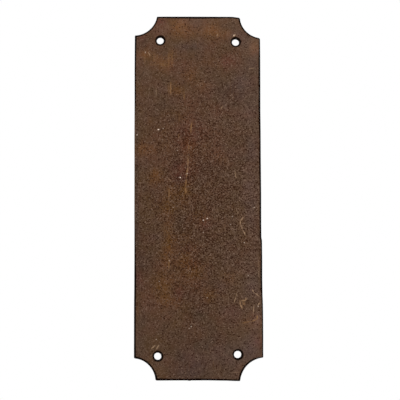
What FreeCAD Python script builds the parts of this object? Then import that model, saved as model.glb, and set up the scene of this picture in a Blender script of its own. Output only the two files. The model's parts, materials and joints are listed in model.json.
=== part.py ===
import FreeCAD, Part
import math
import os
from typing import NamedTuple

# A door finger plate: one flat piece of sheet steel, sheared to size, with a hollow scooped out of each corner
# and a plain screw hole punched beside each hollow. It was cut by hand, so no two corners are quite alike.
# Frame: the back lies on Y = 0 against the door and the front faces -Y, X runs across the plate and Z up it,
# with the origin at the middle of the back. All sizes are in millimetres.

# Sheared blank
PLATE_WIDTH = 80.0
PLATE_HEIGHT = 230.5
SHEET_THICKNESS = 1.6
END_FALL = 0.65          # both ends are sheared out of square and fall this much from left to right

# Edges
ARRIS_ROUND = 0.35       # the front edge, dubbed over by the shears and by handling
HOLE_RIM_ROUND = 0.25    # the front rim of each hole, drawn in by the punch

# Screw holes
SCREW_HOLE_DIAMETER = 4.8


class Corner(NamedTuple):
    """One corner as it was cut, measured from where its side and its end would meet."""

    scoop_along_side: float   # length that the scoop takes off the side
    scoop_along_end: float    # length that the scoop takes off the end
    scoop_radius: float       # radius of the hollow
    tip_round: float          # how far the two tips beside the hollow are rubbed round
    hole_from_side: float     # screw hole's centre, in from the side
    hole_from_end: float      # screw hole's centre, in from the end


TOP_LEFT = Corner(
    scoop_along_side=12.4,
    scoop_along_end=14.2,
    scoop_radius=15.7,
    tip_round=0.4,
    hole_from_side=16.2,
    hole_from_end=15.7,
)
TOP_RIGHT = Corner(
    scoop_along_side=13.7,
    scoop_along_end=12.6,
    scoop_radius=14.9,
    tip_round=0.9,
    hole_from_side=15.4,
    hole_from_end=16.5,
)
BOTTOM_RIGHT = Corner(
    scoop_along_side=14.2,
    scoop_along_end=14.3,
    scoop_radius=14.8,
    tip_round=0.4,
    hole_from_side=15.6,
    hole_from_end=15.8,
)
BOTTOM_LEFT = Corner(
    scoop_along_side=13.3,
    scoop_along_end=13.5,
    scoop_radius=14.5,
    tip_round=0.7,
    hole_from_side=14.7,
    hole_from_end=14.5,
)

# Each corner with the way to its side (left -1, right 1) and to its end (bottom -1, top 1), clockwise from top left
CORNERS = (
    (TOP_LEFT, -1, 1),
    (TOP_RIGHT, 1, 1),
    (BOTTOM_RIGHT, 1, -1),
    (BOTTOM_LEFT, -1, -1),
)

SAME_PLACE = 1e-4


def end_height(across, upward):
    """Height of the top end (upward 1) or bottom end (upward -1) at a place across the plate."""
    return upward * PLATE_HEIGHT / 2 - END_FALL * across / PLATE_WIDTH


def back_point(across, height):
    """A point on the plate's back."""
    return FreeCAD.Vector(across, 0, height)


def scoop_ends(corner, sideways, upward):
    """The two tips of a scoop, on its side and on its end."""
    side = sideways * PLATE_WIDTH / 2
    on_side = back_point(side, end_height(side, upward) - upward * corner.scoop_along_side)
    across = side - sideways * corner.scoop_along_end
    on_end = back_point(across, end_height(across, upward))
    return on_side, on_end


def scoop_edge(corner, sideways, upward):
    """The hollow arc between a scoop's two tips, of the corner's own radius, bowed in towards the plate's middle."""
    on_side, on_end = scoop_ends(corner, sideways, upward)
    chord = on_end - on_side
    half_chord = chord.Length / 2
    bow = corner.scoop_radius - math.sqrt(corner.scoop_radius**2 - half_chord**2)
    inward = FreeCAD.Vector(-sideways * abs(chord.z), 0, -upward * abs(chord.x)).normalize()
    deepest = (on_side + on_end) / 2 + inward * bow
    return Part.Arc(on_side, deepest, on_end).toShape()


def outline():
    """The closed edge of the plate: four scoops with straight sheared edges between them."""
    edges = []
    for index, (corner, sideways, upward) in enumerate(CORNERS):
        following, next_sideways, next_upward = CORNERS[(index + 1) % len(CORNERS)]
        shared = 1 if upward == next_upward else 0
        leaves = scoop_ends(corner, sideways, upward)[shared]
        arrives = scoop_ends(following, next_sideways, next_upward)[shared]
        edges.append(scoop_edge(corner, sideways, upward))
        edges.append(Part.LineSegment(leaves, arrives).toShape())
    return Part.Wire(edges)


def sheared_blank():
    """The sheet cut to its outline, with square edges and sharp tips."""
    return Part.Face(outline()).extrude(FreeCAD.Vector(0, -SHEET_THICKNESS, 0))


def rub_tips(plate):
    """Rounds the two tips of each scoop through the sheet's thickness."""
    half_way = FreeCAD.Vector(0, -SHEET_THICKNESS / 2, 0)
    for corner, sideways, upward in CORNERS:
        tips = [tip + half_way for tip in scoop_ends(corner, sideways, upward)]
        upright_edges = [
            edge
            for edge in plate.Edges
            if any(edge.CenterOfMass.isEqual(tip, SAME_PLACE) for tip in tips)
        ]
        plate = plate.makeFillet(corner.tip_round, upright_edges)
    return plate


def front_face(plate):
    """The flat face that stands furthest forward."""
    return min(plate.Faces, key=lambda face: face.CenterOfMass.y)


def dub_front_edge(plate):
    """Rounds the front edge all the way round the outline and leaves the back edge sharp."""
    return plate.makeFillet(ARRIS_ROUND, front_face(plate).OuterWire.Edges)


def hole_centre(corner, sideways, upward):
    """Where a corner's screw hole meets the back."""
    across = sideways * (PLATE_WIDTH / 2 - corner.hole_from_side)
    return back_point(across, end_height(across, upward) - upward * corner.hole_from_end)


def punch_holes(plate):
    """Punches the four screw holes straight through and rounds their front rims."""
    through = FreeCAD.Vector(0, -1, 0)
    for place in CORNERS:
        punch = Part.makeCylinder(SCREW_HOLE_DIAMETER / 2, SHEET_THICKNESS, hole_centre(*place), through)
        plate = plate.cut(punch)
    front = front_face(plate)
    rims = [edge for wire in front.Wires if not wire.isSame(front.OuterWire) for edge in wire.Edges]
    return plate.makeFillet(HOLE_RIM_ROUND, rims)


def finger_plate():
    """The finished plate."""
    return punch_holes(dub_front_edge(rub_tips(sheared_blank())))


os.makedirs("parts", exist_ok=True)
plate = finger_plate()
plate.exportStep("parts/finger_plate.step")
print(f"finger_plate: {len(plate.Solids)} solid, valid {plate.isValid()}, {plate.Volume:.1f} cubic mm")
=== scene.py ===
import json
import math
from typing import NamedTuple

import bmesh
import bpy
import numpy as np
from bpy.props import FloatProperty, FloatVectorProperty, PointerProperty
from bpy.types import Operator, Panel, PropertyGroup
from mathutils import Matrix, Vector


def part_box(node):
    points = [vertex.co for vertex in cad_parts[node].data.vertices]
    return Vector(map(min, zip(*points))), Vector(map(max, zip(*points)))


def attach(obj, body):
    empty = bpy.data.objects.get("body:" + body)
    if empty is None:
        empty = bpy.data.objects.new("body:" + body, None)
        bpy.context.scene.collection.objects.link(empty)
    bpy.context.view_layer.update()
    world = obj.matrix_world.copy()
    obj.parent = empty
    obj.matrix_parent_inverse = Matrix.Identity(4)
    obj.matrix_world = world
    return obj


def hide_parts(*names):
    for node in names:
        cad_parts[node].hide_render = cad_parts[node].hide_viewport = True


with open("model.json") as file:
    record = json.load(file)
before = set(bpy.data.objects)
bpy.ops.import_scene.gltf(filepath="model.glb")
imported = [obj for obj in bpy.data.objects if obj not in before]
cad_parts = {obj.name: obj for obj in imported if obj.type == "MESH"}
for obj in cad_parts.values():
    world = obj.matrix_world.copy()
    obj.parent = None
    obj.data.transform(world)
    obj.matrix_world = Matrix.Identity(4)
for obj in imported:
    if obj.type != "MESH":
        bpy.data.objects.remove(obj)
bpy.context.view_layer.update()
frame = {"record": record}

# A rusted sheet-steel finger plate for a door, with a hollow scooped out of each corner and four screw holes.
# Frame: the back lies on Y = 0, the front faces -Y, X runs across the plate and Z up it. Lengths are in
# metres, and the tables of marks on the plate are in millimetres. Corners go clockwise from the top left.

bl_info = {
    "name": "Rusted finger plate",
    "version": (1, 0, 0),
    "blender": (4, 5, 0),
    "location": "3D View > Sidebar > Finger Plate",
    "description": "Builds a hand-cut, rusted finger plate for a door on a plain white stage",
    "category": "Object",
}

MM = 0.001
NODE = "finger_plate"
PLATE_LOW, PLATE_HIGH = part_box(NODE)
MOUNTS = {mount["name"]: mount for mount in frame["record"]["mounts"]}

# Each corner with the way to its side and to its end
CORNERS = (("top_left", -1, 1), ("top_right", 1, 1), ("bottom_right", 1, -1), ("bottom_left", -1, -1))

# Spacing of the mesh
CELL = 0.8 * MM  # side of a face on the flats
CUT = 30 * MM  # depth of the corner and edge blocks
RINGS = 22  # rings of faces between a hole and its corner block's border
ARRIS_STEPS = 4  # faces across a rounded edge
WALL_STEPS = 3  # faces down a wall behind a rounded edge
ARC_POINTS = 200  # points on a hollow's arc before its edge is sampled
RUN_IN = 2 * MM  # extra length on which a corner's smoothing starts and ends
FINE_STEP = 0.02 * MM  # sampling of a corner while its tips are smoothed
TIP_REACH = 1.17  # half width of the smoothing, in tip roundings
TIP_EXTRA = 3  # extra points at a tip, for each point elsewhere
TIP_ZONE = 1.5 * MM  # how far from a tip the points stand closer
WELD = 0.002 * MM  # points closer than this are made one
SHARP_ANGLE = math.radians(40)  # faces that meet at more than this show an edge

# Reach of the weathering and of the painted edge shade
SCOOP_FADE = 9 * MM  # how far from its middle a hollow is out of true
EDGE_SHADE_FADE = 5 * MM  # how far in from an edge the extra width of the painted edge shade is felt
WALL_FADE = 1.5  # how much further in the back counts, in millimetres, so that the painted edge shade fades to brown down the walls

# Uneven rust on the front: (wavelength in millimetres, share, seed)
RIPPLES = ((9, 1.0, 11), (4, 0.7, 12), (2.4, 0.5, 13))
RIPPLE_WAVES = 24  # cosines in each ripple

# Grain, coarser where hands pushed: middle and reach of that place, level all over, and rise there
WORN_MIDDLE = (8, -5)
WORN_REACH = (40, 70)
WORN_LEVEL = 0.47
WORN_RISE = 0.72

# Painted shade: near-black beside the edges and round the holes, where their walls fall into shade, in
# millimetres: (where it ends, where it is full)
EDGE_SHADE_BAND = (1.1, 0.7)
HOLE_SHADE_BAND = (1.4, 0.95)

# Soft marks on the face
STROKE_SPREAD = 1.4  # how much wider a stroke is drawn than it looks
SPOT_SPREAD = 1.2  # how much larger a spot is drawn than it looks
STROKE_SHAKE = 0.9  # how far strokes are shaken out of line, in millimetres
MARK_BORDER = (1.0, 0.12)  # where a mark ends and where it is full, as squared half sizes

# Stage
WHITE = (1, 1, 1, 1)
FLOOR_COLOUR = (0.8, 0.8, 0.8, 1)
FLOOR_GLOW = 0.55
FLOOR_HALF_SIZE = 0.8
FLOOR_LINES = 9  # lines of points each way

# How far the hand-cut edges stand out of their straight lines: (place along the edge, way out)
RIGHT_WANDER = (
    (-100, 0.22), (-88, 0.37), (-74, 0.42), (-68, 0.37), (-63, 0.2), (-52, 0.15), (-42, 0.26),
    (-29, 0.25), (-27, -0.13), (-18, -0.13), (0, 0.03), (24, 0.04), (40, 0.13), (54, 0.09), (71, 0.25),
    (86, 0.36), (100, 0.38),
)
LEFT_WANDER = (
    (-100, -0.13), (-68, -0.1), (-60, -0.17), (-40, -0.2), (-22, -0.15), (-12, -0.08), (15, -0.04),
    (36, 0.05), (60, 0.02), (80, 0.1), (100, 0.03),
)
TOP_WANDER = ((-26, 0.08), (0, 0.16), (22.5, 0.16), (24, 0), (25.5, -0.25), (27.5, -0.4))
BOTTOM_WANDER = (
    (-26, 0.2), (-10, 0.05), (-6.5, 0.05), (-5.6, 0.4), (-4.7, 0.05), (5, -0.05), (18, 0.1), (22, 0.25),
)

# How far the middle of each corner's hollow stands out of its circle
SCOOP_WANDER = (-0.27, -0.08, 0.33, -0.06)

# How much wider the painted edge shade is than elsewhere, narrower below nothing: (place along the edge,
# width)
RIGHT_EDGE_SHADE = (
    (-95, -0.3), (-81, -0.33), (-73, -0.17), (-66, -0.3), (-58, 0.1), (-44, 0.05), (-36, -0.4),
    (-29, 0), (-13, 0.12), (-5, 0), (9, -0.05), (17, 0.2), (25, 0.1), (32, -0.18), (40, 0.05),
    (55, 0.18), (71, 0.12), (80, 0.18), (87, 0.13), (94, -0.15),
)
LEFT_EDGE_SHADE = (
    (-95, 0.15), (-66, 0.18), (-51, 0.3), (-43, -0.1), (-35, -0.2), (-27, -0.36), (-20, -0.8),
    (-12, -1), (49, -1), (57, -0.4), (65, -0.15), (76, -0.28), (88, -0.05), (95, 0.05),
)
TOP_EDGE_SHADE = (
    (-24, -0.15), (-16, 0.15), (-6, 0.25), (3, 0.38), (9, 0.12), (14, 0.15), (19, -0.1), (26, 0.05),
)
BOTTOM_EDGE_SHADE = (
    (-22, 0.25), (-16, 0.15), (-9, 0.05), (-1, 0.3), (4, 0.05), (9, 0.1), (14, 0.15), (19, 0),
    (23, 0.15),
)

# How much wider the painted edge shade is along each corner's hollow
SCOOP_EDGE_SHADE = (0.2, 0, -0.15, 0.15)

# Stains: (across, height, half width, half height, strength); some tables also hold painted light and shade,
# as noted at each
OCHRE_STAINS = (
    (-12, 108.5, 6, 6, 1.25), (10, 106, 6.5, 5, 1), (-2, 106.5, 7, 5, 0.5), (2, 113, 16, 3, 0.35),
    (19.5, 104, 3, 2.5, 0.6), (-35, 91, 4.5, 2.5, 0.55), (-24, 87, 5, 3, 0.5), (-17, 88.5, 2, 7, 0.4),
    (36, 95, 3, 5, 0.7), (-33.5, 29.5, 5, 2.5, 0.6), (35, -78, 4.5, 4, 0.6),
    (27.5, -16.5, 2.5, 5.5, 0.35), (-17, 3, 3, 4, 0.4),
)
AMBER_STAINS = (
    (-12, 67, 5, 3, 0.7), (-3, 76, 4, 4, 0.5), (-27, 12, 4, 5, 0.9), (-8, 2, 4, 5.5, 1),
    (-19, -7.5, 4.5, 4, 0.8), (-18.5, -28, 3, 9, 1), (-9, -41, 4.5, 4, 0.7), (-2.5, -48.5, 5, 5, 0.6),
    (-22, -58, 4.5, 7.5, 0.8), (6.5, -63, 5, 4, 0.7), (-24.5, -109, 5.5, 5, 0.5), (14, 24, 4, 4, 0.6),
    (-36, 28, 5, 5, 0.6), (-19, -66, 5, 5, 0.5), (-16.5, 1.5, 4, 4, 0.5), (-20.5, -42, 3, 5, 0.5),
    (-12, -40, 18, 40, 0.25), (-30, 29, 5, 4, 0.5), (3, 69, 4, 5, 0.5), (3, -15, 4, 5, 0.5),
    (-6, 34, 4.5, 13, 0.8), (38, 0, 4, 20, 0.35), (38, -84, 4, 12, 0.45), (37, 94, 3, 5, 0.4),
    (19, -54, 7, 6, 0.35), (-20, 84, 4.5, 5, 0.65), (-31, 90, 5, 4, 0.5), (-7, 77, 5, 4, 0.3),
    (-19, 53, 5, 4, 0.4), (-10, 15, 4, 4, 0.35), (4, -86, 6, 5, 0.4), (-8, -96, 5, 5, 0.35),
)
PLUM_STAINS = (
    (-24, 112.5, 4, 2.5, 0.9), (19, 86, 5.5, 5, 1), (-8.5, 84.5, 5.5, 4, 0.5), (-7, 40, 6.5, 7.5, 0.5),
    (-13, 18, 5, 4.5, 0.7), (4.5, -19, 3, 3, 0.6), (-5.5, -34.5, 6.5, 3, 0.5), (-27, -70, 9, 9, 0.5),
    (-12, -61, 3, 4, 0.5), (-35, 102, 3, 3, 0.6), (-37.5, -53.5, 2.5, 5, 0.5), (-7, 30, 6, 7, 0.5),
    (-3.5, 15.5, 8, 5, 0.5), (5, -17.5, 5, 7, 0.5), (-22.5, -44.5, 8, 6, 0.45), (-8, -5, 22, 75, 0.12),
    (5, 41, 5, 6, 0.5), (37, -92, 4, 4, 0.8), (-38, -50, 3, 9, 0.5), (-27, 30, 6, 22, 0.4),
    (-3, 50, 9, 22, 0.35), (13, 28, 6, 14, 0.4), (-4, -60, 10, 8, 0.4), (-24, 107, 7, 7, 0.4),
    (-34, 92, 7, 5, 0.35), (-15, 83, 7, 5, 0.4), (32, 51, 9, 4, 0.35), (25, -44, 5, 4, 0.35),
    (20, -76, 8, 10, 0.35), (1, -104, 10, 6, 0.3), (-11, 10, 6, 5, 0.5), (6, 68, 6, 6, 0.45),
    (9, 96, 5, 4, 0.45), (-5, -44, 6, 5, 0.45), (-33, -59, 5, 4, 0.4), (14, 53, 6, 4, 0.3),
)
# Grey-brown scale; the rows along the right side, from 31 to 38 across, also paint a cool sheen of light
# there
SLATE_AND_SHEEN_STAINS = (
    (-6, 95.5, 9.5, 3, 0.7), (31, 72.5, 7.5, 12.5, 0.8), (36.5, 91, 3.5, 7, 1.2), (-3, 113, 10, 3, 0.5),
    (34.5, 54, 5, 8, 0.7), (34.5, 28, 5, 9, 0.7), (33.5, 6, 5.5, 12, 0.65), (33, -13, 4.5, 8, 0.8),
    (33, -57, 5, 9, 1.1), (36, -78, 4, 5, 0.9), (32.5, -93, 6, 8, 1), (20, -38, 9.5, 7.5, 0.45),
    (20, -72, 6.5, 5, 0.5), (15, -101, 14, 8, 0.8), (-5.5, -103, 11.5, 9, 0.6), (4, -82.5, 5, 5, 0.5),
    (-25, -109, 6, 5, 0.5), (-37, -88, 4, 14, 0.5), (37, -3, 4, 30, 0.6), (37, -80, 4, 25, 0.6),
    (27, -104, 7, 8, 0.6), (32, 98, 6, 6, 0.5), (15, -58, 5, 5, 0.5), (-26.5, -27, 4, 4, 0.5),
    (25, 30, 14, 50, 0.25), (18, -113, 8, 4, 0.5), (25, 102, 5, 6, 0.6), (-37, 80, 3, 7, 0.5),
    (-22.5, 68.5, 5, 4, 0.45), (-2, 112, 8, 4, 0.5), (6, 73, 6, 5, 0.4), (-21, -82, 9, 8, 0.35),
    (38, 63, 3, 5, 0.3), (-36, 24, 5, 5, 0.4), (32, 0, 6, 5, 0.35), (17, -58, 7, 4, 0.35),
    (-22, -104, 5, 5, 0.45), (-26, -26, 6, 7, 0.35), (-12, -112, 6, 4, 0.4), (1, 109, 7, 4, 0.3),
)
# Darker patches; the rows along the left side and at the lower end are painted shade, where the plate is
# darker because of how the light falls, and the two narrow rows at -38.6 across paint a shaded dark line just
# inside the left edge
SHADE_STAINS = (
    (-38.6, 33, 0.9, 20, 0.9), (-38.6, -1, 0.9, 22, 0.9), (-40.5, -25, 2.5, 16, 0.8),
    (-39, -52, 2.5, 9, 0.6), (-40, 53.5, 3, 9.5, 0.4), (-21, 54.5, 5.5, 6.5, 0.6),
    (-40.5, 9.5, 2.5, 9.5, 0.4), (-6, -106, 12.5, 7, 0.6), (1.5, -72.5, 6.5, 6.5, 0.7),
    (-7, 37, 5, 7, 1), (-13, 18, 4.5, 4.5, 0.8), (-6, 95.5, 9, 3, 0.4), (-35.5, 98, 4, 4, 0.5),
    (-5, -3, 9, 19, 0.2), (-2, -112, 10, 4, 0.5), (-38, -25, 4, 14, 0.4), (22, 66, 7, 6, 0.6),
    (-10, 12, 6, 5, 0.5), (-9, -19.5, 8, 4, 0.5), (8, -23.5, 5, 5, 0.4), (-7, -33, 5, 4, 0.7),
    (-7, -62.5, 6, 4, 0.8), (5, -87, 13, 8, 0.5), (-8, -97, 8, 6, 0.45), (11, -93, 6, 5, 0.4),
    (-11, 11, 4, 4, 0.75), (6, 15, 6, 7, 0.4), (-35, -44, 5, 12, 0.5), (-10, -17, 5, 6, 0.4),
    (0, -76, 5, 7, 0.4), (20, 58, 6, 4, 0.5), (-32, 30, 4, 4, 0.45), (12, 66, 14, 7, 0.3),
    (-2, 42, 8, 8, 0.3), (-33, -38, 5, 12, 0.25), (-4, -52, 6, 4, 0.3), (2, -94, 16, 5, 0.25),
    (-25, 90, 8, 4, 0.3), (-32, -80, 6, 5, 0.3), (-21, 68, 5, 4, 0.25), (27, 74, 5, 5, 0.25),
)
# Paler patches; the rows on the right half are painted light, where the plate is lighter because of how the
# light falls
PALE_AND_LIT_STAINS = (
    (-22, 106, 6, 6, 0.35), (34, 97, 6, 5, 0.35), (17, -26, 8, 13, 0.28), (27, -84, 9, 10, 0.25),
    (31, 8, 7, 4, 0.3), (23, -54, 6, 6, 0.2), (26, 114, 5, 6, 0.2), (33, -23, 5, 8, 0.2),
    (-27, -8, 6, 4, 0.16), (34, -108, 6, 6, 0.4), (33, -55, 5, 14, 0.18), (22, -10, 10, 14, 0.1),
    (22, -52, 9, 8, 0.12), (22, 51, 6, 3, 0.15), (17, 3, 7, 6, 0.15),
)

STAINS = {
    "ochre": OCHRE_STAINS,
    "amber": AMBER_STAINS,
    "plum": PLUM_STAINS,
    "slate": SLATE_AND_SHEEN_STAINS,
    "shade": SHADE_STAINS,
    "dust": PALE_AND_LIT_STAINS,
}

# How far the painted shadow in each corner's hole leans to one side, up and to the right, where the wall
# faces away from the key light: (across, height)
HOLE_SHADOW_LEAN = ((0.2, 0.1), (0.12, 0.2), (0.28, 0.05), (0.22, 0.1))

# Scratches and streaks: (across, height) of both ends, half width, strength
PALE_SCRATCHES = (
    (28.7, -14.2, 26.9, -16.6, 0.35, 0.65), (26.9, -16.6, 26.9, -19, 0.38, 0.75),
    (26.9, -19, 28.2, -22, 0.33, 0.65), (28.2, -22, 30.1, -25.8, 0.36, 0.75),
    (38, -37, 38.2, -57, 0.3, 0.22), (24.3, -9.4, 25.7, -12.2, 0.35, 0.5),
    (23.7, 15.1, 24.4, 9.7, 0.35, 0.4), (-19.4, 11.3, -15.9, 7.7, 0.35, 0.3),
    (24.1, -61.4, 23.6, -64, 0.3, 0.6), (23.6, -64, 22.3, -68.2, 0.3, 0.7),
    (30.1, -64.7, 29.8, -66.3, 0.35, 0.4), (29.8, -66.3, 26.5, -66.3, 0.35, 0.45),
    (26.2, -66.5, 26.3, -68.9, 0.4, 0.45), (26.3, -68.9, 27.6, -71.4, 0.4, 0.45),
    (33.7, -59.4, 34.9, -61.5, 0.35, 0.7), (34.9, -61.5, 38.7, -64, 0.3, 0.6),
    (39, -67.2, 36.9, -69.8, 0.35, 0.6), (34.7, -69.2, 34.5, -74.9, 0.3, 0.6),
    (-29.2, -96, -26.9, -93.6, 0.4, 0.7), (-26.1, -96.3, -24.4, -93.3, 0.4, 0.7),
    (20.7, -110.6, 25.7, -110.6, 0.35, 0.3), (14.9, 55, 16.5, 57.3, 0.4, 0.4),
    (32.4, 81.3, 36.9, 81.2, 0.35, 0.28), (23.1, 102.3, 24.8, 103.7, 0.5, 0.7),
    (-31.5, 92.4, -30.1, 89.6, 0.35, 0.5), (-26.2, 69.8, -26.2, 62.9, 0.3, 0.25),
    (-5.9, 24.8, -6.6, 14, 0.3, 0.3),
)
OCHRE_STREAKS = (
    (-33.8, 94.3, -33.7, 83.5, 0.5, 0.2), (-27.9, 93, -27.7, 85.1, 0.7, 0.22),
    (-18.3, 93.8, -18.3, 81.1, 0.6, 0.25), (-16.1, 94.2, -16.1, 82.1, 0.5, 0.2),
    (-17, 73.7, -17.1, 63.9, 0.4, 0.7), (-18.6, 72, -18.4, 65, 0.5, 0.25),
    (-25.3, 84.4, -17, 83.4, 0.9, 0.25), (-31, 83.9, -25.3, 84.4, 0.9, 0.15),
    (-25.8, 91, -25.6, 87, 0.5, 0.25), (13.2, 105.6, 13.2, 101.3, 0.5, 0.45),
    (-8.4, 66.8, -8.4, 60.3, 0.5, 0.4), (-3.5, 47.6, -4.5, 38.9, 0.4, 0.7),
    (-5.6, 32, -5.6, 29, 0.5, 0.5), (-5.8, 25.5, -6.4, 17.7, 0.35, 0.5),
    (-6.4, 17.7, -7.1, 10.6, 0.4, 0.8), (-7.1, 10.6, -7.8, 4.9, 0.45, 0.7),
    (-7.8, 4.9, -7.5, 0.6, 0.6, 0.7), (-11.6, 53.4, -11.8, 44.8, 0.35, 0.25),
    (-12, 39, -12, 36.4, 0.4, 0.4), (-18.2, 5.1, -18.2, -2.5, 0.45, 0.5),
    (-18.1, -39.7, -18.4, -47.8, 0.4, 0.5), (36.9, -75.8, 36.6, -78, 0.5, 1.0),
    (36.5, -78.2, 33.1, -79.2, 0.35, 0.8), (33.1, -79.2, 27.2, -80.3, 0.4, 0.5),
    (28.1, -66.9, 28.8, -69, 0.8, 0.5), (30.1, -64.7, 29.8, -66.3, 0.4, 0.5),
    (29.8, -66.3, 26.5, -66.3, 0.4, 0.7), (26.2, -66.5, 26.3, -68.9, 0.45, 0.7),
    (26.3, -68.9, 27.6, -71.4, 0.45, 0.7),
)

# Single spots, painted glints and dark pits: (across, height, half size, strength)
# Painted glints: near-white points where the light catches grit on the face
GRIT_GLINTS = (
    (-25, 41.9, 0.4, 1.0), (-24.4, 41.9, 0.36, 0.35), (-11, 11.1, 0.4, 1.0), (6, -15, 0.4, 0.8),
    (3.5, -16, 0.5, 0.5), (-6.6, 13.6, 0.4, 0.45), (-4.3, -82.3, 0.5, 0.3), (29.2, -30.2, 0.4, 0.4),
    (3.4, -23.8, 0.36, 0.35), (35.7, -8.1, 0.4, 0.4), (-21.8, 42.5, 0.36, 0.35),
    (-18, -41.3, 0.36, 0.35), (20.5, -18.8, 0.36, 0.3), (21.8, -13.8, 0.4, 0.3),
    (-15.5, -7.9, 0.36, 0.3), (-12.9, 28.4, 0.36, 0.3), (31.5, -50.8, 0.36, 0.3),
    (5.7, -64.4, 0.36, 0.3), (-26.1, -90.2, 0.4, 0.3), (-5.6, -83.5, 0.4, 0.25),
    (-24.3, -54.3, 0.36, 0.3), (-38.5, 38.5, 0.45, 0.4), (-33.3, 92.2, 0.45, 0.3),
    (37.5, -70, 0.45, 0.3), (13, 103.5, 0.5, 0.1), (23.7, 103.1, 0.5, 0.35),
)
DARK_PITS = (
    (1, 94.5, 0.5, 0.8), (-1, 90, 0.5, 0.8), (-9, 78.8, 0.5, 0.7), (-0.5, 74.5, 0.5, 0.7),
    (2.5, 81.5, 0.5, 0.7), (-3.5, 58.5, 0.5, 0.7), (-34.5, 79, 0.5, 0.7), (-37, 58.5, 0.5, 0.7),
    (6, -8, 0.5, 0.7), (-14.9, -38.8, 0.5, 0.7), (1.6, -14.3, 0.5, 0.7), (-12.9, 11.1, 0.5, 0.6),
    (-9.7, 7.9, 0.45, 0.6), (20.6, 4.6, 0.45, 0.6), (-35.5, -65.5, 0.45, 0.6), (24.9, -10.6, 0.45, 0.6),
    (5, 37.9, 0.45, 0.6), (1.4, -64.4, 0.45, 0.6),
)


def display(red, green, blue):
    """Scene-linear colour of a display colour in steps of 255: a straight start, then a power of 2.4."""
    steps = np.array((red, green, blue)) / 255
    linear = np.where(steps <= 0.04045, steps / 12.92, ((steps + 0.055) / 1.055) ** 2.4)
    return tuple(linear.tolist())


def colour(description, *steps):
    """A colour property whose default is an opaque display colour."""
    default = (*display(*steps), 1)
    return FloatVectorProperty(
        description=description, default=default, size=4, min=0, max=1, subtype="COLOR"
    )


def length(description, default):
    """A length property in metres."""
    return FloatProperty(description=description, default=default, min=0, precision=5, unit="LENGTH")


def lengths(description, *millimetres):
    """Lengths that go together: one for each corner, or the three of a place."""
    default = [value * MM for value in millimetres]
    return FloatVectorProperty(
        description=description, default=default, size=len(default), precision=5, unit="LENGTH"
    )


class PlateSizes(PropertyGroup):
    """Sizes of the sheet as it was cut, and of its rust."""

    width: length("Side to side", PLATE_HIGH[0] - PLATE_LOW[0])
    height: length("End to end, at the middle", 230.5 * MM)
    thickness: length("Gauge of the sheet", PLATE_HIGH[1] - PLATE_LOW[1])
    end_fall: length("How far both ends fall from left to right", 0.65 * MM)
    arris_round: length("Rounding of the front edge", 0.35 * MM)
    rim_round: length("Rounding of the front rim of each hole", 0.25 * MM)
    relief: length("Depth of the uneven rust on the front", 0.05 * MM)
    rust_swell: length("How far rust builds out on the edges and into the holes", 0.15 * MM)
    scoop_along_side: lengths("What each scoop takes off its side", 12.4, 13.7, 14.2, 13.3)
    scoop_along_end: lengths("What each scoop takes off its end", 14.2, 12.6, 14.3, 13.5)
    scoop_radius: lengths("Radius of each hollow", 15.7, 14.9, 14.8, 14.5)
    tip_round: lengths("How far each scoop's tips are rubbed round", 0.4, 0.9, 0.4, 0.7)


class RustColours(PropertyGroup):
    """Colours of the rust, as they look in plain light; a few of them paint light and shade onto it, as
    noted.
    """

    umber: colour("Main brown of the rust", 78, 57, 39)
    ochre: colour("Fresh rust that has run and dried", 102, 68, 40)
    amber: colour("Deep yellow-brown rust", 91, 61, 27)
    plum: colour("Old red-brown rust", 88, 55, 42)
    # slate: grey-brown scale, and a painted cool sheen along the right side
    slate: colour("Grey-brown scale", 80, 62, 52)
    # shade: darker patches, and painted shade along the left side and at the lower end
    shade: colour("Places that stayed dark", 62, 48, 36)
    # dust: paler patches, and painted light on the right half
    dust: colour("Paler, rubbed places", 97, 76, 59)
    dark_grain: colour("Hollows of the rust", 44, 24, 13)
    pale_grain: colour("Rubbed tops of the rust", 120, 97, 82)
    streak: colour("Rust that has run down in lines", 135, 100, 66)
    scratch: colour("Metal dust in scratches", 166, 136, 108)
    # Painted glints, near-white where the light catches grit on the face
    speck: colour("Bright grit on the face", 240, 216, 196)
    pit: colour("Bottoms of the rust pits", 42, 19, 6)
    # rim: painted shade, near-black on the edges and hole walls where they fall into shade; it also colours
    # the bottoms of the deep pits
    rim: colour("Burnt-dark edges and hole walls", 15, 6, 3)


class StudioSetting(PropertyGroup):
    """Light, floor and camera."""

    key_power: FloatProperty(description="Power of the soft key light", default=8.7, min=0, unit="POWER")
    key_size: length("Side of the square key light", 0.6)
    key_place: lengths("Where the key light stands, facing the plate", 400, -700, 600)
    fill: FloatProperty(description="Light from all round", default=0.45, min=0)
    floor_drop: length("Plate's lowest point down to the floor", 0.2)
    lens: FloatProperty(description="Focal length", default=63, min=1, unit="CAMERA")
    camera_place: lengths("Where the camera stands", 1.3, -442.6, -38.26)
    camera_turn: FloatVectorProperty(
        description="How the camera is turned",
        default=(math.radians(94.54), math.radians(0.2214), 0),
        size=3,
        subtype="EULER",
    )


class Corner(NamedTuple):
    """One scooped corner; places are (across, height)."""

    sideways: int
    upward: int
    on_side: np.ndarray
    on_end: np.ndarray
    scoop_centre: np.ndarray
    scoop_radius: float
    scoop_wander: float
    tip_round: float
    hole: np.ndarray
    hole_radius: float
    inner: np.ndarray


class Run(NamedTuple):
    """A stretch of the plate's edge, clockwise, with its outward normals."""

    points: np.ndarray
    normals: np.ndarray


def end_height(sizes, across, upward):
    """Half the plate's height, up or down, less a straight fall from left to right."""
    return upward * sizes.height / 2 - sizes.end_fall * across / sizes.width


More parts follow.
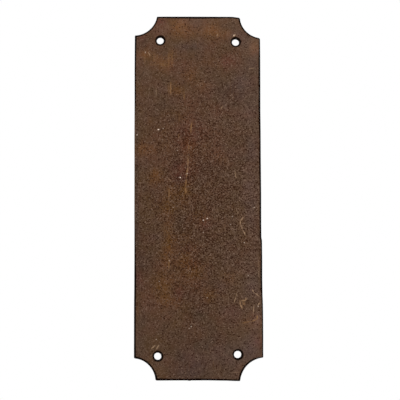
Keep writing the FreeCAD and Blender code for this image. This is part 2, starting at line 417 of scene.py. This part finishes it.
def read_corner(sizes, index):
    """A corner's tips lie on its side and its end. The hollow's centre stands out from the middle of the
    chord between them by the root of the radius squared less half the chord squared."""
    name, sideways, upward = CORNERS[index]
    side = sideways * sizes.width / 2
    on_side = np.array((side, end_height(sizes, side, upward) - upward * sizes.scoop_along_side[index]))
    across = side - sideways * sizes.scoop_along_end[index]
    on_end = np.array((across, end_height(sizes, across, upward)))
    chord = on_end - on_side
    radius = sizes.scoop_radius[index]
    stand_out = math.sqrt(radius**2 - chord @ chord / 4)
    outward = np.array((sideways * abs(chord[1]), upward * abs(chord[0]))) / math.hypot(*chord)
    mount = MOUNTS[f"screw_hole_{name}"]
    return Corner(
        sideways=sideways,
        upward=upward,
        on_side=on_side,
        on_end=on_end,
        scoop_centre=(on_side + on_end) / 2 + stand_out * outward,
        scoop_radius=radius,
        scoop_wander=SCOOP_WANDER[index] * MM,
        tip_round=sizes.tip_round[index],
        hole=np.array((mount["pos_m"][0], mount["pos_m"][2])),
        hole_radius=mount["dims"]["r_mm"] * MM - sizes.rust_swell,
        inner=np.array((sideways * (sizes.width / 2 - CUT), upward * (sizes.height / 2 - CUT))),
    )


def bell(distance, reach):
    """Weight that falls from one as a bell: the exponential of minus the distance in reaches, squared."""
    return np.exp(-((distance / reach) ** 2))


def unit(vectors):
    """Vectors brought to a length of one."""
    return vectors / np.linalg.norm(vectors, axis=-1, keepdims=True)


def travelled(path):
    """Length travelled to each point of a path."""
    return np.concatenate(([0], np.cumsum(np.linalg.norm(np.diff(path, axis=0), axis=1))))


def read_off(places, known, path):
    """Points of a path at the given places, in straight steps between the known places of its points."""
    return np.column_stack([np.interp(places, known, path[:, axis]) for axis in (0, 1)])


def left_normals(path):
    """Unit normals to the left of a path's way, which is outwards on a clockwise edge."""
    tangents = np.gradient(path, axis=0)
    return unit(np.column_stack((-tangents[:, 1], tangents[:, 0])))


def corner_path(sizes, corner):
    """Sharp edge of a corner, clockwise (side, hollow's arc, end), and the middle of its hollow."""
    from_centre = np.array((corner.on_side, corner.on_end)) - corner.scoop_centre
    first, last = np.arctan2(from_centre[:, 1], from_centre[:, 0])
    sweep = (last - first + math.pi) % math.tau - math.pi
    angles = first + sweep * np.linspace(0, 1, ARC_POINTS)
    arc = corner.scoop_centre + corner.scoop_radius * np.column_stack((np.cos(angles), np.sin(angles)))
    start = (corner.on_side[0], corner.inner[1] - corner.upward * RUN_IN)
    finish_across = corner.inner[0] - corner.sideways * RUN_IN
    finish = (finish_across, end_height(sizes, finish_across, corner.upward))
    path = np.vstack((start, arc, finish))
    if corner.sideways == corner.upward:
        path = path[::-1]
    return path, arc[ARC_POINTS // 2]


def rubbed(path, tip_round):
    """A path sampled finely, with its tips taken off by a running mean as wide as the tip rounding."""
    reached = travelled(path)
    fine = read_off(np.arange(0, reached[-1], FINE_STEP), reached, path)
    reach = max(1, round(TIP_REACH * tip_round / FINE_STEP))
    running = np.full(2 * reach + 1, 1 / (2 * reach + 1))
    fine = np.column_stack([np.convolve(fine[:, axis], running, "same") for axis in (0, 1)])
    trim = round(RUN_IN / FINE_STEP)
    return fine[trim:-trim]


def corner_run(sizes, corner):
    """Edge of a corner with rubbed tips and points that stand closer, by a bell, beside the tips.

    It is moved out along its normals by the rust's swell and by the hollow's own wander, which dies away
    from the hollow's middle as the exponential of a fourth power."""
    path, middle = corner_path(sizes, corner)
    fine = rubbed(path, corner.tip_round)
    to_tips = [np.linalg.norm(fine - tip, axis=1) for tip in (corner.on_side, corner.on_end)]
    wanted = np.cumsum(1 + TIP_EXTRA * bell(np.min(to_tips, axis=0), TIP_ZONE))
    count = round(wanted[-1] * FINE_STEP / CELL)
    picks = np.linspace(wanted[0], wanted[-1], count + 1)
    points = read_off(picks, wanted, fine)
    normals = unit(read_off(picks, wanted, left_normals(fine)))
    to_middle = np.linalg.norm(points - middle, axis=1)
    out = sizes.rust_swell + corner.scoop_wander * np.exp(-((to_middle / SCOOP_FADE) ** 4))
    return Run(points + out[:, None] * normals, normals)


def between(start, finish, count):
    """Evenly spaced points from start to finish, in count steps."""
    return start + (finish - start) * np.linspace(0, 1, count + 1)[:, None]


def straight_run(start, finish, count):
    """Straight edge with one normal all along it."""
    points = between(start, finish, count)
    return Run(points, np.broadcast_to(left_normals(np.array((start, finish)))[0], points.shape))


def outline_runs(sizes, corners):
    """The closed edge in eight runs: each corner and the straight edge that follows it."""
    turns = [corner_run(sizes, corner) for corner in corners]
    counts = [round((sizes.width - 2 * CUT) / CELL), round((sizes.height - 2 * CUT) / CELL)] * 2
    runs = []
    for index, turn in enumerate(turns):
        following = turns[(index + 1) % len(turns)]
        runs.append(turn)
        runs.append(straight_run(turn.points[-1], following.points[0], counts[index]))
    return runs


def corner_loop(edge, inner):
    """Closed border of a corner block: its piece of the edge, then square in to its inner corner and back."""
    seam = round(CUT / CELL)
    return np.vstack((edge[:-1], between(edge[-1], inner, seam)[:-1], between(inner, edge[0], seam)[:-1]))


def hole_spokes(corner, run):
    """Unit directions from a hole's centre to each point of its corner block's border."""
    return unit(corner_loop(run.points, corner.inner) - corner.hole)


def blend_rows(first, last, count):
    """Grid whose rows go in even steps from one line of points to another."""
    return first + (last - first) * np.linspace(0, 1, count + 1)[:, None, None]


def at_level(flat, level):
    """Flat (across, height) points stood at a depth."""
    depth = np.broadcast_to(level, flat.shape[:-1])
    return np.stack((flat[..., 0], depth, flat[..., 1]), axis=-1)


def face_grids(corners, runs, inset, rim_round, level):
    """One face in nine grids, as (points, whether its rows close).

    A corner block goes in rings from the hole's rim to the block's border. An edge strip and the middle go
    in even steps between opposite borders. The edge is drawn in by the inset, and the rim is widened."""
    edges = [run.points - inset * run.normals for run in runs]
    grids = []
    for index, corner in enumerate(corners):
        following = corners[(index + 1) % len(corners)]
        rim = corner.hole + (corner.hole_radius + rim_round) * hole_spokes(corner, runs[2 * index])
        grids.append((blend_rows(rim, corner_loop(edges[2 * index], corner.inner), RINGS), True))
        outer = edges[2 * index + 1]
        inner = between(corner.inner, following.inner, len(outer) - 1)
        grids.append((blend_rows(inner, outer, round(CUT / CELL)), False))
    top_left, top_right, bottom_right, bottom_left = (corner.inner for corner in corners)
    columns = len(runs[1].points) - 1
    rows = len(runs[3].points) - 1
    bottom = between(bottom_left, bottom_right, columns)
    top = between(top_left, top_right, columns)
    grids.append((blend_rows(bottom, top, rows), False))
    return [(at_level(flat, level), closed) for flat, closed in grids]


def rounded_wall(round_size, thickness):
    """Section of a wall, rounded at its front by a quarter circle: (way in, depth) from front to back."""
    swing = np.linspace(0, math.pi / 2, ARRIS_STEPS + 1)
    straight = np.linspace(round_size, thickness, WALL_STEPS + 1)[1:]
    inset = np.concatenate((round_size * (1 - np.sin(swing)), np.zeros(WALL_STEPS)))
    depth = np.concatenate((round_size * (1 - np.cos(swing)), straight)) - thickness
    return inset, depth


def edge_grid(sizes, runs):
    """The rounded wall's section carried round the outline along its normals."""
    inset, depth = rounded_wall(sizes.arris_round, sizes.thickness)
    points = np.vstack([run.points[:-1] for run in runs])
    normals = np.vstack([run.normals[:-1] for run in runs])
    return at_level(points - inset[:, None, None] * normals, depth[:, None])


def collar_grid(sizes, corner, run):
    """The rounded wall's section carried round a hole along its spokes."""
    inset, depth = rounded_wall(sizes.rim_round, sizes.thickness)
    spokes = hole_spokes(corner, run)
    return at_level(corner.hole + (corner.hole_radius + inset[:, None, None]) * spokes, depth[:, None])


def grid_quads(rows, columns, closed):
    """Faces of a grid: a point, the next along its row, and the two beyond them in the next row."""
    index = np.arange(rows * columns).reshape(rows, columns)
    if closed:
        index = np.column_stack((index, index[:, 0]))
    quads = (index[:-1, :-1], index[:-1, 1:], index[1:, 1:], index[1:, :-1])
    return np.stack(quads, axis=-1).reshape(-1, 4)


def plate_grids(sizes, corners, runs):
    """Every grid of the closed plate, as (points, whether its rows close, whether its faces turn over)."""
    front = face_grids(corners, runs, sizes.arris_round, sizes.rim_round, -sizes.thickness)
    back = face_grids(corners, runs, 0, 0, 0)
    grids = [(points, closed, False) for points, closed in front]
    grids += [(points, closed, True) for points, closed in back]
    grids.append((edge_grid(sizes, runs), True, False))
    for index, corner in enumerate(corners):
        grids.append((collar_grid(sizes, corner, runs[2 * index]), True, True))
    return grids


def welded_mesh(name, grids):
    """One mesh of all the grids, with the points that neighbouring grids share made one."""
    points = []
    quads = []
    count = 0
    for grid, closed, turned in grids:
        rows, columns = grid.shape[:2]
        faces = grid_quads(rows, columns, closed) + count
        points.append(grid.reshape(-1, 3))
        quads.append(faces[:, ::-1] if turned else faces)
        count += rows * columns
    mesh = bpy.data.meshes.new(name)
    mesh.from_pydata(np.vstack(points).tolist(), [], np.vstack(quads).tolist())
    surface = bmesh.new()
    surface.from_mesh(mesh)
    bmesh.ops.remove_doubles(surface, verts=surface.verts[:], dist=WELD)
    open_edges = sum(not edge.is_manifold for edge in surface.edges)
    surface.to_mesh(mesh)
    surface.free()
    if open_edges:
        raise RuntimeError(f"the plate's mesh has {open_edges} open edges")
    return mesh


def mesh_points(mesh):
    """Places of a mesh's points as rows of an array."""
    places = np.empty(len(mesh.vertices) * 3, np.float32)
    mesh.vertices.foreach_get("co", places)
    return places.reshape(-1, 3).astype(float)


def ripple(across, height, wavelength, seed):
    """Random waves: a sum of cosines of about one wavelength, with random ways and phases, of unit spread."""
    random = np.random.default_rng(seed)
    way = random.uniform(0, math.tau, RIPPLE_WAVES)
    pitch = math.tau / (wavelength * random.uniform(0.7, 1.4, RIPPLE_WAVES))
    phase = random.uniform(0, math.tau, RIPPLE_WAVES)
    travel = across[:, None] * np.cos(way) + height[:, None] * np.sin(way)
    return np.cos(travel * pitch + phase).sum(axis=1) * math.sqrt(2 / RIPPLE_WAVES)


def edge_values(sizes, across, height, tables, weight):
    """What the right, left, top and bottom edges give to each point: a value read off the edge's table in
    straight steps, times a weight for the distance in from that edge."""
    half = sizes.width / 2
    tall = sizes.height / 2
    inwards = (half - across, half + across, tall - height, tall + height)
    along = (height, height, across, across)
    values = []
    for table, distance, place in zip(tables, inwards, along):
        known, read = np.array(table).T * MM
        values.append(weight(distance) * np.interp(place, known, read))
    return values


def near_edge(distance):
    """Weight that falls from one at an edge to nothing at the block's inner border, as a square."""
    return np.clip(1 - distance / CUT, 0, 1) ** 2


def weathered(sizes, points):
    """Points moved as hand and rust left them: the edges wander out of line, fading inwards, and the front
    sinks unevenly by a sum of ripples that dies away behind the front."""
    across, depth, height = points.T
    tables = (RIGHT_WANDER, LEFT_WANDER, TOP_WANDER, BOTTOM_WANDER)
    right, left, top, bottom = edge_values(sizes, across, height, tables, near_edge)
    waves = sum(share * ripple(across, height, wavelength * MM, seed) for wavelength, share, seed in RIPPLES)
    on_front = np.clip(-2 * depth / sizes.thickness - 1, 0, 1)
    sunk = on_front * sizes.relief * np.clip(0.5 + 0.25 * waves, 0, 1)
    return np.column_stack((across + (right - left), depth + sunk, height + (top - bottom)))


def stain_strength(across, height, stains):
    """Sum of the stains at each point, each falling off from its middle as a bell both ways."""
    middle_across, middle_height, half_width, half_height, strength = np.array(stains).T
    over = bell(across[:, None] / MM - middle_across, half_width)
    up = bell(height[:, None] / MM - middle_height, half_height)
    return (over * up) @ strength


def worn_strength(across, height):
    """How coarse the grain is: a low level all over and a broad bell about the middle, where hands pushed."""
    over = bell(across / MM - WORN_MIDDLE[0], WORN_REACH[0])
    up = bell(height / MM - WORN_MIDDLE[1], WORN_REACH[1])
    return WORN_LEVEL + WORN_RISE * over * up


def scoop_distance(corner, across, height):
    """Distance from a hollow's circle."""
    from_centre = np.hypot(across - corner.scoop_centre[0], height - corner.scoop_centre[1])
    return from_centre - corner.scoop_radius


def edge_distance(sizes, corners, across, height):
    """Distance in from the nearest part of the outline: the sides, the ends or the hollows' circles."""
    distances = [scoop_distance(corner, across, height) for corner in corners]
    distances.append(sizes.width / 2 - np.abs(across))
    distances.append(end_height(sizes, across, 1) - height)
    distances.append(height - end_height(sizes, across, -1))
    return np.min(distances, axis=0)


def near_rim(distance):
    """Weight that falls from one at an edge as a bell, for the width of the painted edge shade."""
    return bell(distance, EDGE_SHADE_FADE)


def painted_edge_shade_width(sizes, corners, across, height):
    """Extra width of the painted edge shade at each point: the sum of each edge's own, fading inwards."""
    tables = (RIGHT_EDGE_SHADE, LEFT_EDGE_SHADE, TOP_EDGE_SHADE, BOTTOM_EDGE_SHADE)
    width = sum(edge_values(sizes, across, height, tables, near_rim))
    for corner, extra in zip(corners, SCOOP_EDGE_SHADE):
        width += near_rim(scoop_distance(corner, across, height)) * extra * MM
    return width


def hole_distance(corners, across, height):
    """Distance out from the nearest hole's wall, with the wall shifted the way the painted shadow in the hole
    leans.
    """
    distances = []
    for corner, lean in zip(corners, HOLE_SHADOW_LEAN):
        middle = corner.hole + np.array(lean) * MM
        distances.append(np.hypot(across - middle[0], height - middle[1]) - corner.hole_radius)
    return np.min(distances, axis=0)


def set_attribute(mesh, name, values):
    """A value for each point, kept under a name that the material reads."""
    mesh.attributes.new(name, "FLOAT", "POINT").data.foreach_set("value", values.astype(np.float32))


def mark_points(mesh, sizes, corners, points):
    """Gives each point what the material reads: stains on the front half, some of them painted light and
    shade, coarseness of the grain and, in millimetres, the painted edge shade's extra width and the
    distances from edge and holes."""
    across, depth, height = points.T
    on_front = depth < -sizes.thickness / 2
    for name, stains in STAINS.items():
        set_attribute(mesh, name, on_front * stain_strength(across, height, stains))
    set_attribute(mesh, "worn", worn_strength(across, height))
    set_attribute(mesh, "edge_shade_width", painted_edge_shade_width(sizes, corners, across, height) / MM)
    behind_front = 1 + depth / sizes.thickness
    inwards = edge_distance(sizes, corners, across, height) / MM
    set_attribute(mesh, "edge_distance", inwards + WALL_FADE * behind_front)
    set_attribute(mesh, "hole_distance", hole_distance(corners, across, height) / MM)


class Signal:
    """A shader socket that takes part in Python sums; each sum adds one Math node."""

    def __init__(self, recipe, socket):
        self.recipe = recipe
        self.socket = socket

    def combined(self, operation, first, second):
        return self.recipe.node("Math", {0: first, 1: second}, operation=operation)

    def __add__(self, other):
        return self.combined("ADD", self, other)

    __radd__ = __add__

    def __sub__(self, other):
        return self.combined("SUBTRACT", self, other)

    def __rsub__(self, other):
        return self.combined("SUBTRACT", other, self)

    def __mul__(self, other):
        return self.combined("MULTIPLY", self, other)

    __rmul__ = __mul__

    def __or__(self, other):
        """The larger of the two."""
        return self.combined("MAXIMUM", self, other)


class Recipe:
    """The node tree of one material or world."""

    def __init__(self, owner):
        owner.use_nodes = True
        self.tree = owner.node_tree
        self.tree.nodes.clear()

    def node(self, kind, sockets, output=0, **settings):
        """Adds a node with its settings and a value or link for each socket. Gives one of its outputs."""
        made = self.tree.nodes.new("ShaderNode" + kind)
        for name, value in settings.items():
            setattr(made, name, value)
        for key, value in sockets.items():
            if isinstance(value, Signal):
                self.tree.links.new(value.socket, made.inputs[key])
            else:
                made.inputs[key].default_value = value
        return Signal(self, made.outputs[output]) if made.outputs else None

    def noise(self, place, scale, detail=2.0, roughness=0.5, output=0):
        """Noise whose scale is in waves for each millimetre."""
        sockets = {"Vector": place, "Scale": scale, "Detail": detail, "Roughness": roughness}
        return self.node("TexNoise", sockets, output)

    def step(self, value, low, high):
        """Smooth rise from nothing at low to one at high; it falls where low is above high."""
        return self.node("MapRange", {0: value, 1: low, 2: high}, interpolation_type="SMOOTHSTEP")

    def mix(self, factor, first, second):
        """Colour that goes from the first to the second."""
        return self.node("Mix", {0: factor, 6: first, 7: second}, output=2, data_type="RGBA")

    def vector(self, operation, first, second, third=(0, 0, 0), output=0):
        """Vector Math of up to three vectors or colours."""
        return self.node("VectorMath", {0: first, 1: second, 2: third}, output, operation=operation)

    def dot(self, first, second):
        """Dot product of two vectors."""
        return self.vector("DOT_PRODUCT", first, second, output="Value")

    def attribute(self, name):
        """A value that the mesh keeps for each point."""
        return self.node("Attribute", {}, output="Fac", attribute_name=name)


class Grain(NamedTuple):
    """Noises of the rust, from wide drifts down to single flakes, each spread about nothing."""

    broad: Signal
    patchy: Signal
    blotch: Signal
    fine: Signal
    flake: Signal


def ellipse(recipe, place, middle, way, half_length, half_width):
    """Mask of an ellipse on the face: the distances along and across it, in half sizes, squared and added."""
    middle = np.array((middle[0], 0, middle[1]))
    along = np.array((way[0], 0, way[1])) / half_length
    aside = np.array((-way[1], 0, way[0])) / half_width
    over = recipe.dot(place, along) - along @ middle
    off = recipe.dot(place, aside) - aside @ middle
    return recipe.step(over * over + off * off, *MARK_BORDER)


def stroke_marks(recipe, place, strokes):
    """The strongest of many thin ellipses drawn between pairs of ends."""
    marks = 0.0
    for stroke in strokes:
        first, last = np.array(stroke[:4]).reshape(2, 2)
        half_width, strength = stroke[4:]
        run = math.hypot(*(last - first))
        half_length = run / 2 + half_width
        way = (last - first) / run
        mask = ellipse(recipe, place, (first + last) / 2, way, half_length, half_width * STROKE_SPREAD)
        marks = mask * strength | marks
    return marks


def spot_marks(recipe, place, spots):
    """The strongest of many round spots."""
    marks = 0.0
    for across, height, half_size, strength in spots:
        reach = half_size * SPOT_SPREAD
        mask = ellipse(recipe, place, (across, height), (1, 0), reach, reach)
        marks = mask * strength | marks
    return marks


def rust_grain(recipe, place):
    """Four noises of falling size, and Voronoi cells of one value each for the flakes, all less a half."""
    cells = recipe.node("TexVoronoi", {"Vector": place, "Scale": 2.4}, output="Color")
    return Grain(
        broad=recipe.noise(place, 0.05, 3) - 0.5,
        patchy=recipe.noise(place, 0.15, 3) - 0.5,
        blotch=recipe.noise(place, 0.4, 3, 0.6) - 0.5,
        fine=recipe.noise(place, 0.95, 2, 0.6) - 0.5,
        flake=recipe.node("SeparateColor", {0: cells}, output="Red") - 0.5,
    )


def drift(recipe, place, offset, scale, low, high):
    """Wide soft patches: a plain noise, read at an offset of its own and cut by a smooth step."""
    return recipe.step(recipe.noise(recipe.vector("ADD", place, offset), scale, 1), low, high)


def stained_rust(recipe, place, grain, colours):
    """Brown with reddish, greyish and yellowish drifts, then the stains, some of them painted light and
    shade, then faint upright runs.

    A stain adds its colour less the brown, times its strength, broken up by the grain. The runs are a noise
    drawn out upwards."""
    umber = np.array(colours.umber[:3])
    change = {name: tuple(np.array(getattr(colours, name)[:3]) - umber) for name in STAINS}
    reddish = drift(recipe, place, (0, 0, 0), 0.1, 0.4, 0.65)
    greyish = drift(recipe, place, (91, 0, 37), 0.09, 0.42, 0.66)
    yellowish = drift(recipe, place, (17, 0, 153), 0.12, 0.52, 0.7)
    base = recipe.mix(0.3 * reddish, colours.umber, colours.plum)
    base = recipe.mix(0.3 * greyish, base, colours.slate)
    base = recipe.vector("MULTIPLY_ADD", 0.15 * yellowish, change["amber"], base)
    broken = recipe.step(grain.patchy + grain.blotch, -0.8, 0.1)
    # Stains, among them painted shade on the left side and lower end, painted light on the right half and a
    # painted sheen along the right side
    for name in STAINS:
        base = recipe.vector("MULTIPLY_ADD", recipe.attribute(name) * broken, change[name], base)
    drawn = recipe.node("Mapping", {"Vector": place, "Scale": (1.1, 1.1, 0.07)})
    runs = recipe.step(recipe.noise(drawn, 1.0, 1), 0.6, 0.78) * recipe.step(grain.broad, -0.05, 0.1)
    return recipe.vector("MULTIPLY_ADD", 0.35 * runs, change["amber"], base)


def grained_rust(recipe, base, grain, worn, colours):
    """Rust with its grain: a tone below nothing goes to the dark colour, and above nothing to the pale one.

    The tone is a weighted sum of the noises. A flake counts by its value and its fifth power, so that few
    flakes stand out strongly."""
    squared = grain.flake * grain.flake
    fleck = grain.flake * (0.3 + 26 * squared * squared)
    tone = 0.15 * grain.broad + 0.05 * grain.patchy + 0.05 * grain.blotch
    tone = tone + worn * (0.1 * grain.fine + 1.6 * fleck - 0.06) + 0.06
    base = recipe.mix(-1 * tone | 0, base, colours.dark_grain)
    return recipe.mix(tone | 0, base, colours.pale_grain)


def pit_mask(recipe, place, grain, worn):
    """Ragged dots in the middles of flat Voronoi cells, in more of the cells where the plate is worn."""
    flat = recipe.node("Mapping", {"Vector": place, "Rotation": (-math.pi / 2, 0, 0)})
    sockets = {"Vector": flat, "Scale": 1.05}
    from_middle = recipe.node("TexVoronoi", sockets, output="Distance", voronoi_dimensions="2D")
    cells = recipe.node("TexVoronoi", sockets, output="Color", voronoi_dimensions="2D")
    chance = recipe.node("SeparateColor", {0: cells}, output="Red")
    dots = recipe.step(from_middle + 0.3 * grain.fine, 0.5, 0.28)
    return dots * recipe.step(chance + 0.6 * worn, 1.15, 1.3)


def shaken_place(recipe, place):
    """Place moved over the face by a noise, so that strokes drawn on it are not quite straight."""
    ragged = recipe.noise(place, 0.7, output="Color")
    moved = recipe.vector("MULTIPLY_ADD", ragged, (STROKE_SHAKE, 0, STROKE_SHAKE), place)
    return recipe.vector("SUBTRACT", moved, (STROKE_SHAKE / 2, 0, STROKE_SHAKE / 2))


def painted_edge_shade_mask(recipe, grain):
    """Painted shade: near-black beside the edges and round the holes, where their walls fall into shade, by
    distance, with borders that the grain makes ragged.
    """
    inwards = recipe.attribute("edge_distance") - recipe.attribute("edge_shade_width")
    edge = inwards + 0.18 * grain.fine + 0.15 * grain.blotch
    hole = recipe.attribute("hole_distance") + 0.4 * grain.fine + 0.25 * grain.blotch
    return recipe.step(edge, *EDGE_SHADE_BAND) | recipe.step(hole, *HOLE_SHADE_BAND)


def rusted_steel(sizes, colours):
    """Dry brown rust with stains, some of them painted light and shade, grain and pits, then streaks,
    scratches and painted glints, then painted shade on the edges and hole walls.
    """
    material = bpy.data.materials.new("rusted_steel")
    recipe = Recipe(material)
    coordinates = recipe.node("TexCoord", {}, output="Object")
    place = recipe.node("VectorMath", {0: coordinates, "Scale": 1 / MM}, operation="SCALE")
    depth = recipe.node("SeparateXYZ", {0: place}, output="Y")
    on_front = recipe.step(depth, -0.5 * sizes.thickness / MM, -0.7 * sizes.thickness / MM)
    worn = recipe.attribute("worn")
    grain = rust_grain(recipe, place)

    base = stained_rust(recipe, place, grain, colours)
    base = grained_rust(recipe, base, grain, worn, colours)
    pitted = pit_mask(recipe, place, grain, worn)
    base = recipe.mix(pitted, base, colours.pit)

    shaken = shaken_place(recipe, place)
    broken = on_front * (0.5 + 0.5 * recipe.step(grain.fine + grain.blotch, -0.25, 0.1))
    streaks = stroke_marks(recipe, shaken, OCHRE_STREAKS) * broken
    base = recipe.mix(streaks, base, colours.streak)
    scratches = stroke_marks(recipe, shaken, PALE_SCRATCHES) * broken
    base = recipe.mix(scratches, base, colours.scratch)
    # Painted glints: near-white points where the light catches grit
    glints = spot_marks(recipe, place, GRIT_GLINTS) * on_front
    base = recipe.mix(glints, base, colours.speck)
    deep_pits = spot_marks(recipe, place, DARK_PITS) * on_front
    base = recipe.mix(0.8 * deep_pits, base, colours.rim)
    # Painted shade: near-black on the edges and round the holes, where their walls fall into shade
    base = recipe.mix(painted_edge_shade_mask(recipe, grain), base, colours.rim)

    roughness = 0.78 + 0.25 * grain.fine - 0.1 * scratches
    height = 0.4 * grain.fine + 0.6 * grain.blotch + 0.3 * grain.flake - 0.4 * pitted - 0.3 * deep_pits
    normal = recipe.node("Bump", {"Strength": 0.35, "Distance": 0.2 * MM, "Height": height})
    sockets = {"Base Color": base, "Roughness": roughness, "Normal": normal, "Specular IOR Level": 0.02}
    recipe.node("OutputMaterial", {"Surface": recipe.node("BsdfPrincipled", sockets)})
    return material


class PLATE_OT_build(Operator):
    """Build the rusted plate as one closed surface"""

    bl_idname = "finger_plate.build"
    bl_label = "Build Plate"

    def execute(self, context):
        sizes = context.scene.finger_plate_sizes
        corners = [read_corner(sizes, index) for index in range(len(CORNERS))]
        runs = outline_runs(sizes, corners)
        mesh = welded_mesh("rusted_plate", plate_grids(sizes, corners, runs))
        points = mesh_points(mesh)
        mark_points(mesh, sizes, corners, points)
        mesh.vertices.foreach_set("co", weathered(sizes, points).astype(np.float32).ravel())
        mesh.update()
        mesh.shade_smooth()
        mesh.set_sharp_from_angle(angle=SHARP_ANGLE)
        mesh.materials.append(rusted_steel(sizes, context.scene.finger_plate_rust))
        plate = bpy.data.objects.new("rusted_plate", mesh)
        context.scene.collection.objects.link(plate)
        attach(plate, "root")
        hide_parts(NODE)
        return {"FINISHED"}


def lit_and_seen(recipe, lit, seen):
    """One shader for rays of light, and another for rays from the camera, off gloss or through glass."""
    kinds = ("Is Camera Ray", "Is Glossy Ray", "Is Transmission Ray")
    camera, glossy, through = [recipe.node("LightPath", {}, output=kind) for kind in kinds]
    return recipe.node("MixShader", {0: camera | glossy | through, 1: lit, 2: seen})


def white_floor_material():
    """Matt floor that glows a little to the camera alone, so that it looks white and keeps a soft shadow."""
    material = bpy.data.materials.new("white_floor")
    recipe = Recipe(material)
    matt = recipe.node("BsdfDiffuse", {"Color": FLOOR_COLOUR})
    glow = recipe.node("Emission", {"Strength": FLOOR_GLOW})
    glowing = recipe.node("AddShader", {0: matt, 1: glow})
    recipe.node("OutputMaterial", {"Surface": lit_and_seen(recipe, matt, glowing)})
    return material


def white_surround(fill):
    """World that looks white and lights the plate evenly by the fill."""
    world = bpy.data.worlds.new("white_surround")
    recipe = Recipe(world)
    light = recipe.node("Background", {"Color": WHITE, "Strength": fill})
    backdrop = recipe.node("Background", {"Color": WHITE, "Strength": 1.0})
    recipe.node("OutputWorld", {"Surface": lit_and_seen(recipe, light, backdrop)})
    return world


def floor_mesh(height):
    """Flat square of even cells at one height."""
    steps = np.linspace(-FLOOR_HALF_SIZE, FLOOR_HALF_SIZE, FLOOR_LINES)
    across, along = np.meshgrid(steps, steps)
    points = np.column_stack((across.ravel(), along.ravel(), np.full(across.size, height)))
    mesh = bpy.data.meshes.new("floor")
    mesh.from_pydata(points.tolist(), [], grid_quads(FLOOR_LINES, FLOOR_LINES, False).tolist())
    return mesh


class PLATE_OT_stage(Operator):
    """Set the white floor, the soft light and the camera"""

    bl_idname = "finger_plate.stage"
    bl_label = "Set Stage"

    def execute(self, context):
        scene = context.scene
        studio = scene.finger_plate_studio
        mesh = floor_mesh(PLATE_LOW[2] - studio.floor_drop)
        mesh.materials.append(white_floor_material())
        floor = bpy.data.objects.new("floor", mesh)
        scene.collection.objects.link(floor)
        scene.world = white_surround(studio.fill)

        lamp = bpy.data.lights.new("key_light", "AREA")
        lamp.energy = studio.key_power
        lamp.shape = "SQUARE"
        lamp.size = studio.key_size
        key = bpy.data.objects.new("key_light", lamp)
        key.location = studio.key_place
        key.rotation_euler = (-key.location).to_track_quat("-Z", "Y").to_euler()
        scene.collection.objects.link(key)

        lens = bpy.data.cameras.new("camera")
        lens.lens = studio.lens
        camera = bpy.data.objects.new("camera", lens)
        camera.location = studio.camera_place
        camera.rotation_euler = studio.camera_turn
        scene.collection.objects.link(camera)
        scene.camera = camera
        scene.view_settings.view_transform = "Standard"
        return {"FINISHED"}


class PLATE_PT_sidebar(Panel):
    """Sizes, colours and the two steps of the build"""

    bl_idname = "PLATE_PT_sidebar"
    bl_label = "Finger Plate"
    bl_space_type = "VIEW_3D"
    bl_region_type = "UI"
    bl_category = "Finger Plate"

    def draw(self, context):
        scene = context.scene
        for operator, groups in (
            (PLATE_OT_build, (scene.finger_plate_sizes, scene.finger_plate_rust)),
            (PLATE_OT_stage, (scene.finger_plate_studio,)),
        ):
            column = self.layout.column()
            for group in groups:
                for name in group.__annotations__:
                    column.prop(group, name, text=name.replace("_", " ").capitalize())
            column.operator(operator.bl_idname)


CLASSES = (PlateSizes, RustColours, StudioSetting, PLATE_OT_build, PLATE_OT_stage, PLATE_PT_sidebar)


def register():
    for each in CLASSES:
        bpy.utils.register_class(each)
    bpy.types.Scene.finger_plate_sizes = PointerProperty(type=PlateSizes)
    bpy.types.Scene.finger_plate_rust = PointerProperty(type=RustColours)
    bpy.types.Scene.finger_plate_studio = PointerProperty(type=StudioSetting)


def unregister():
    del bpy.types.Scene.finger_plate_studio
    del bpy.types.Scene.finger_plate_rust
    del bpy.types.Scene.finger_plate_sizes
    for each in reversed(CLASSES):
        bpy.utils.unregister_class(each)


def main():
    """Builds the plate and its stage."""
    register()
    bpy.ops.finger_plate.build()
    bpy.ops.finger_plate.stage()


if __name__ == "__main__":
    main()
